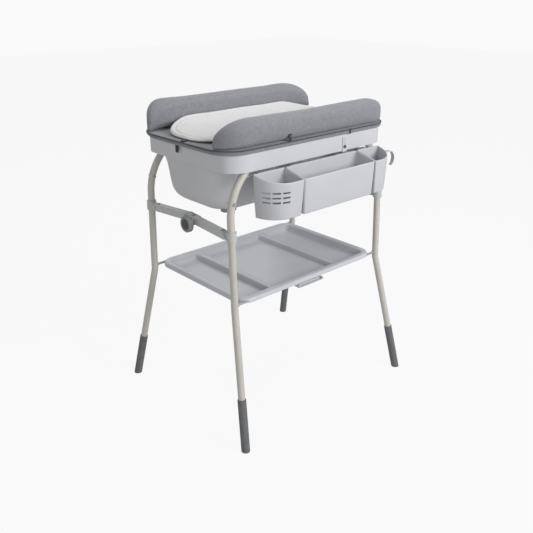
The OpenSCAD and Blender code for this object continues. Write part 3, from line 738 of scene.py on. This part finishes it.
def buildBolster(name, side, node, seed):
    b = bolster
    obj = makeObject(name, *bolsterForm(side, 0.0016), finishes["cloth"])
    puff(obj, 0.005, b["cap"], keepBelow=b["bottom"] + 0.006)
    if not obj.data.materials:
        obj.data.materials.append(finishes["cloth"])
    crease(obj, 0.0011, (9, 22, 22), seed)
    co = readPoints(obj.data)
    co[:, 2] = np.clip(co[:, 2], b["bottom"], None)
    tooFar = side * co[:, 1] < b["inner"]
    co[tooFar, 1] = side * b["inner"]
    writePoints(obj.data, co)
    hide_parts(node)
    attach(obj, "mat")
    return obj


buildBolster("bolsterFront", -1, "bolster_front", 3.0)
buildBolster("bolsterBack", 1, "bolster_back", 11.0)
print("bolsters built")

mat = {"x": 0.351, "y": 0.221, "r": 0.086, "under": 0.9008}


def skirtDrop(y):
    # the edge hangs over the rim, but not along the hinged back
    return 1 - smooth(0.12, 0.20, y)


def buildBase():
    m = mat
    rings = []
    steps = [(0.090, None), (0.040, None), (0.012, None), (0.0078, 0.8996), (0.0070, 0.8940), (0.0050, 0.8922),
             (0.0016, 0.8924),
             (0.0002, 0.8942), (0.0, 0.8975), (0.0, 0.9018), (0.0012, 0.9044), (0.004, 0.9056), (0.012, 0.9062),
             (0.026, 0.9064), (0.045, 0.9064), (0.070, 0.9065), (0.100, 0.9065), (0.130, 0.9065), (0.160, 0.9065),
             (0.19, 0.9065)]
    for inset, z in steps:
        outline = ringOutline(m["x"] - inset, m["y"] - inset, max(m["r"] - inset, 0.02), 40, 14)
        ring = []
        for x, y in outline:
            high = m["under"] if z is None else z
            if high < m["under"]:
                high = mix(m["under"], high, skirtDrop(y))
            ring.append((x, y, high))
        rings.append(ring)
    obj = makeObject("matBase", *loft(rings), finishes["cloth"])
    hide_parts("mat_base")
    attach(obj, "mat")
    return obj


buildBase()

pad = {
    "cx": -0.012, "x": 0.320, "y": 0.146, "r": 0.122, "low": 0.9072, "thick": 0.0125, "rise": 0.026, "seam": 0.016,
}


def padLift(x, y):
    # lies in the hollow between the bolsters and climbs their sides
    p = pad
    side = abs(y) / p["y"]
    middle = 1 - 0.55 * smooth(0.60, 1.0, abs(x - p["cx"]) / p["x"])
    return p["rise"] * side ** 2.6 * middle


def buildPad():
    p = pad
    fractions = [0.03, 0.1, 0.2, 0.3, 0.4, 0.5, 0.6, 0.68, 0.75, 0.81]
    insets = [0.040, 0.030, 0.022, 0.0185, 0.0168, 0.0160, 0.0152, 0.0135, 0.010, 0.0065, 0.0035, 0.0012]
    top = []
    edge = ringOutline(p["x"], p["y"], p["r"], 40, 16)
    for f in fractions:
        ring = ringOutline(p["x"] - 0.052, p["y"] - 0.052, p["r"] - 0.052, 40, 16)
        top.append([(x * f / 0.87, y * f / 0.87, 1.0) for x, y in ring])
    for inset in insets:
        ring = ringOutline(p["x"] - inset, p["y"] - inset, p["r"] - inset, 40, 16)
        dip = math.exp(-((inset - p["seam"]) / 0.0016) ** 2)
        full = min(1.0, math.sqrt(max(0.0, 1 - (1 - min(1.0, inset / 0.009)) ** 2)))
        top.append([(x, y, full * (1 - 0.42 * dip)) for x, y in ring])
    top.append([(x, y, 0.0) for x, y in edge])
    rings = []
    for ring in top:
        row = []
        for x, y, h in ring:
            wave = noise.noise(Vector((x * 13 + 4, y * 13, 0.3))) * 0.0016
            wave += noise.noise(Vector((x * 5, y * 5 + 9, 2.3))) * 0.0018
            rest = p["low"] + padLift(p["cx"] + x, y)
            row.append((p["cx"] + x, y, rest + p["thick"] * (0.36 + 0.64 * h) + wave * min(1, h + 0.2)))
        rings.append(row)
    for ring in reversed(top):
        row = []
        for x, y, h in ring:
            row.append((p["cx"] + x, y, p["low"] + padLift(p["cx"] + x, y) + p["thick"] * 0.36 * (1 - h)))
        rings.append(row)
    obj = makeObject("loosePad", *loft(rings), finishes["pad"])
    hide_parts("loose_pad")
    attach(obj, "mat")
    return obj


buildPad()
print("mat and pad built")

# ---------- piping, stitches, zip and screws by geometry nodes ----------


def startTree(name, sizes):
    tree = bpy.data.node_groups.new(name, "GeometryNodeTree")
    tree.interface.new_socket("Geometry", in_out="INPUT", socket_type="NodeSocketGeometry")
    for label, kind, value in sizes:
        socket = tree.interface.new_socket(label, in_out="INPUT", socket_type=kind)
        if value is not None:
            socket.default_value = value
    tree.interface.new_socket("Geometry", in_out="OUTPUT", socket_type="NodeSocketGeometry")
    return tree, tree.nodes.new("NodeGroupInput"), tree.nodes.new("NodeGroupOutput")


def endTree(tree, source, given, output):
    real = tree.nodes.new("GeometryNodeRealizeInstances")
    paint = tree.nodes.new("GeometryNodeSetMaterial")
    soft = tree.nodes.new("GeometryNodeSetShadeSmooth")
    tree.links.new(source, real.inputs[0])
    tree.links.new(real.outputs[0], soft.inputs[0])
    tree.links.new(soft.outputs[0], paint.inputs[0])
    tree.links.new(given.outputs["Finish"], paint.inputs["Material"])
    tree.links.new(paint.outputs[0], output.inputs[0])


def cordTree():
    # sweeps a round profile along the edges of the input
    tree, given, output = startTree("pipingAlongEdge", [
        ("Radius", "NodeSocketFloat", 0.002), ("Finish", "NodeSocketMaterial", None)])
    toCurve = tree.nodes.new("GeometryNodeMeshToCurve")
    circle = tree.nodes.new("GeometryNodeCurvePrimitiveCircle")
    circle.inputs["Resolution"].default_value = 10
    sweep = tree.nodes.new("GeometryNodeCurveToMesh")
    sweep.inputs["Fill Caps"].default_value = True
    tree.links.new(given.outputs["Geometry"], toCurve.inputs[0])
    tree.links.new(given.outputs["Radius"], circle.inputs["Radius"])
    tree.links.new(toCurve.outputs[0], sweep.inputs["Curve"])
    tree.links.new(circle.outputs[0], sweep.inputs["Profile Curve"])
    endTree(tree, sweep.outputs[0], given, output)
    return tree


def stitchTree():
    # lays short rounded stitches end to end along the edges of the input
    tree, given, output = startTree("stitchRow", [
        ("Pitch", "NodeSocketFloat", 0.005), ("Length", "NodeSocketFloat", 0.0034),
        ("Thickness", "NodeSocketFloat", 0.0009), ("Finish", "NodeSocketMaterial", None)])
    toCurve = tree.nodes.new("GeometryNodeMeshToCurve")
    resample = tree.nodes.new("GeometryNodeResampleCurve")
    resample.mode = "LENGTH"
    toPoints = tree.nodes.new("GeometryNodeCurveToPoints")
    toPoints.mode = "EVALUATED"
    bead = tree.nodes.new("GeometryNodeMeshCylinder")
    bead.inputs["Vertices"].default_value = 6
    place = tree.nodes.new("GeometryNodeInstanceOnPoints")
    turn = tree.nodes.new("FunctionNodeAlignEulerToVector")
    turn.axis = "Z"
    tree.links.new(given.outputs["Geometry"], toCurve.inputs[0])
    tree.links.new(toCurve.outputs[0], resample.inputs["Curve"])
    tree.links.new(given.outputs["Pitch"], resample.inputs["Length"])
    tree.links.new(resample.outputs[0], toPoints.inputs["Curve"])
    tree.links.new(toPoints.outputs["Points"], place.inputs["Points"])
    tree.links.new(toPoints.outputs["Tangent"], turn.inputs["Vector"])
    tree.links.new(turn.outputs[0], place.inputs["Rotation"])
    tree.links.new(given.outputs["Thickness"], bead.inputs["Radius"])
    tree.links.new(given.outputs["Length"], bead.inputs["Depth"])
    tree.links.new(bead.outputs["Mesh"], place.inputs["Instance"])
    endTree(tree, place.outputs[0], given, output)
    return tree


def screwTree():
    # a domed screw head with a cross slot on every point of the input, turned to the point's facing
    tree, given, output = startTree("screwHeads", [
        ("Head", "NodeSocketFloat", 0.004), ("Finish", "NodeSocketMaterial", None)])
    dome = tree.nodes.new("GeometryNodeMeshUVSphere")
    dome.inputs["Segments"].default_value = 20
    dome.inputs["Rings"].default_value = 10
    flat = tree.nodes.new("GeometryNodeTransform")
    flat.inputs["Scale"].default_value = (1, 1, 0.42)
    slotA = tree.nodes.new("GeometryNodeMeshCube")
    slotA.inputs["Size"].default_value = (0.0052, 0.0009, 0.003)
    slotB = tree.nodes.new("GeometryNodeMeshCube")
    slotB.inputs["Size"].default_value = (0.0009, 0.0052, 0.003)
    lift = tree.nodes.new("GeometryNodeTransform")
    lift.inputs["Translation"].default_value = (0, 0, 0.0026)
    both = tree.nodes.new("GeometryNodeJoinGeometry")
    cut = tree.nodes.new("GeometryNodeMeshBoolean")
    cut.operation = "DIFFERENCE"
    place = tree.nodes.new("GeometryNodeInstanceOnPoints")
    turn = tree.nodes.new("FunctionNodeAlignEulerToVector")
    turn.axis = "Z"
    normal = tree.nodes.new("GeometryNodeInputNamedAttribute")
    normal.data_type = "FLOAT_VECTOR"
    normal.inputs["Name"].default_value = "facing"
    tree.links.new(given.outputs["Head"], dome.inputs["Radius"])
    tree.links.new(dome.outputs["Mesh"], flat.inputs["Geometry"])
    tree.links.new(slotA.outputs["Mesh"], both.inputs[0])
    tree.links.new(slotB.outputs["Mesh"], both.inputs[0])
    tree.links.new(both.outputs[0], lift.inputs["Geometry"])
    tree.links.new(flat.outputs[0], cut.inputs["Mesh 1"])
    tree.links.new(lift.outputs[0], cut.inputs["Mesh 2"])
    tree.links.new(given.outputs["Geometry"], place.inputs["Points"])
    tree.links.new(normal.outputs["Attribute"], turn.inputs["Vector"])
    tree.links.new(turn.outputs[0], place.inputs["Rotation"])
    tree.links.new(cut.outputs["Mesh"], place.inputs["Instance"])
    endTree(tree, place.outputs[0], given, output)
    return tree


trees = {"cord": cordTree(), "stitch": stitchTree(), "screw": screwTree()}


def runTree(obj, tree, values):
    modifier = obj.modifiers.new(tree.name, "NODES")
    modifier.node_group = tree
    for item in tree.interface.items_tree:
        if item.item_type == "SOCKET" and item.in_out == "INPUT" and item.name in values:
            modifier[item.identifier] = values[item.name]
    return bakeModifiers(obj)


def pathObject(name, lines, closed):
    points, edges = [], []
    for line in lines:
        base = len(points)
        points += [tuple(p) for p in line]
        count = len(line)
        edges += [(base + k, base + k + 1) for k in range(count - 1)]
        if closed:
            edges.append((base + count - 1, base))
    mesh = bpy.data.meshes.new(name)
    mesh.from_pydata(points, edges, [])
    obj = bpy.data.objects.new(name, mesh)
    bpy.context.scene.collection.objects.link(obj)
    return obj


def alongPath(name, lines, closed, tree, values, body):
    obj = pathObject(name, lines, closed)
    runTree(obj, trees[tree], values)
    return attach(obj, body)


def matLoop(inset, z):
    return [(x, y, z) for x, y in ringOutline(mat["x"] - inset, mat["y"] - inset, mat["r"] - inset, 40, 14)]


alongPath("matPiping", [matLoop(-0.0002, 0.9046)], True, "cord",
          {"Radius": 0.0017, "Finish": finishes["piping"]}, "mat")
alongPath("matZip", [matLoop(-0.0004, 0.9012)], True, "stitch",
          {"Pitch": 0.0042, "Length": 0.0024, "Thickness": 0.0009, "Finish": finishes["thread"]}, "mat")
padLine = []
for x, y in ringOutline(pad["x"] - pad["seam"], pad["y"] - pad["seam"], pad["r"] - pad["seam"], 40, 16):
    padLine.append((pad["cx"] + x, y, pad["low"] + padLift(pad["cx"] + x, y) + pad["thick"] * 0.74))
alongPath("padStitches", [padLine], True, "stitch",
          {"Pitch": 0.0046, "Length": 0.0030, "Thickness": 0.0005, "Finish": finishes["padThread"]}, "mat")
print("piping and stitches built")

# ---------- screws, snap, zip pull and end tab ----------


def screwRow(name, spots, body):
    # spots are (place, facing) pairs
    mesh = bpy.data.meshes.new(name)
    mesh.from_pydata([tuple(place) for place, facing in spots], [], [])
    facing = mesh.attributes.new("facing", "FLOAT_VECTOR", "POINT")
    for k, (place, towards) in enumerate(spots):
        facing.data[k].vector = towards
    obj = bpy.data.objects.new(name, mesh)
    bpy.context.scene.collection.objects.link(obj)
    runTree(obj, trees["screw"], {"Head": 0.0042, "Finish": finishes["steel"]})
    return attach(obj, body)


collarSpot = {"x": 0.3389, "y": 0.20349, "z": 0.660}
for name, side, body in (("backCollarScrews", 1, "back_frame"), ("frontCollarScrews", -1, "front_frame")):
    spots = []
    for hand in (-1, 1):
        spots.append(((hand * collarSpot["x"], side * collarSpot["y"], collarSpot["z"]), (hand, 0, 0)))
    screwRow(name, spots, body)


def roundedPlate(name, centre, size, alongX, corner, finish, body):
    # small plate with softened edges, its thickness along x or along y
    a, b, thick = size
    rings = []
    for inset, depth in ((0.0012, -0.5), (0.0004, -0.46), (0.0, -0.3), (0.0, 0.3), (0.0004, 0.46), (0.0012, 0.5)):
        ring = []
        for u, v in ringOutline(a / 2 - inset, b / 2 - inset, max(0.0003, corner - inset), 3, 6):
            d = depth * thick
            shift = (d, u, v) if alongX else (u, d, v)
            ring.append(tuple(c + m for c, m in zip(centre, shift)))
        rings.append(ring)
    obj = makeObject(name, *loft(rings), finish, sharp=50)
    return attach(obj, body)


trim = {"snap": (-0.114, -0.2222, 0.9195), "pull": (0.143, -0.2236, 0.9000), "tab": (-0.3448, 0.013, 0.8820)}
snapX, snapY, snapZ = trim["snap"]
roundedPlate("snapLoop", (snapX, snapY + 0.0014, snapZ - 0.004), (0.012, 0.024, 0.0014), False, 0.0045,
             finishes["strap"], "mat")
roundedPlate("snapCap", trim["snap"], (0.0094, 0.0094, 0.0024), False, 0.0046,
             finishes["hub"], "mat")
roundedPlate("zipPull", trim["pull"], (0.0055, 0.019, 0.0018), False, 0.0024,
             finishes["pull"], "mat")
roundedPlate("endTab", trim["tab"], (0.015, 0.026, 0.0014), True, 0.0030,
             finishes["strap"], "mat")
print("trim built")

# ---------- floor, light and camera ----------
studio = {"worldLight": 0.30, "key": 62.0, "top": 26.0, "fill": 8.0, "left": 7.0}


def buildStudio():
    scene = bpy.context.scene
    scene.view_settings.view_transform = "Standard"
    mesh = bpy.data.meshes.new("studioFloor")
    s = 12.0
    mesh.from_pydata([(-s, -s, 0), (s, -s, 0), (s, s, 0), (-s, s, 0)], [], [(0, 1, 2, 3)])
    floor = bpy.data.objects.new("studioFloor", mesh)
    scene.collection.objects.link(floor)
    finish = bpy.data.materials.new("paleFloor")
    finish.use_nodes = True
    tree = finish.node_tree
    tree.nodes.clear()
    out = tree.nodes.new("ShaderNodeOutputMaterial")
    diffuse = tree.nodes.new("ShaderNodeBsdfDiffuse")
    diffuse.inputs["Color"].default_value = (0.035, 0.035, 0.035, 1)
    glow = tree.nodes.new("ShaderNodeEmission")
    glow.inputs["Color"].default_value = (1, 1, 1, 1)
    both = tree.nodes.new("ShaderNodeAddShader")
    path = tree.nodes.new("ShaderNodeLightPath")
    level = addMath(tree, "MULTIPLY_ADD", path.outputs["Is Camera Ray"], 0.43)
    level.node.inputs[2].default_value = 0.49
    tree.links.new(level, glow.inputs["Strength"])
    tree.links.new(diffuse.outputs[0], both.inputs[0])
    tree.links.new(glow.outputs[0], both.inputs[1])
    tree.links.new(both.outputs[0], out.inputs[0])
    mesh.materials.append(finish)

    world = bpy.data.worlds.new("studioWorld")
    world.use_nodes = True
    scene.world = world
    tree = world.node_tree
    back = tree.nodes["Background"]
    back.inputs["Color"].default_value = (1, 1, 1, 1)
    path = tree.nodes.new("ShaderNodeLightPath")
    level = addMath(tree, "MULTIPLY_ADD", path.outputs["Is Camera Ray"], 0.947 - studio["worldLight"])
    level.node.inputs[2].default_value = studio["worldLight"]
    tree.links.new(level, back.inputs["Strength"])

    def areaLight(name, power, size, place, target):
        light = bpy.data.lights.new(name, "AREA")
        light.shape = "RECTANGLE"
        light.size, light.size_y = size
        light.energy = power
        obj = bpy.data.objects.new(name, light)
        obj.location = place
        obj.rotation_euler = (Vector(target) - Vector(place)).to_track_quat("-Z", "Y").to_euler()
        scene.collection.objects.link(obj)

    areaLight("keyLight", studio["key"], (1.8, 1.4), (0.75, -2.7, 1.9), (0, 0, 0.6))
    areaLight("topLight", studio["top"], (2.2, 2.0), (0.1, 0.2, 3.0), (0, 0, 0.6))
    areaLight("leftFill", studio["left"], (1.6, 1.6), (-2.4, -1.5, 1.2), (0, 0, 0.7))
    areaLight("backFill", studio["fill"], (2.0, 1.6), (1.2, 2.6, 1.8), (0, 0, 0.6))

    lens = bpy.data.cameras.new("camera")
    lens.lens = 44.77
    lens.sensor_width = 36
    camera = bpy.data.objects.new("camera", lens)
    camera.location = (-1.4316, -1.5723, 1.3221)
    camera.rotation_euler = Vector((0.6178, 0.6811, -0.3930)).to_track_quat("-Z", "Y").to_euler()
    scene.collection.objects.link(camera)
    scene.camera = camera


buildStudio()
print("studio ready")
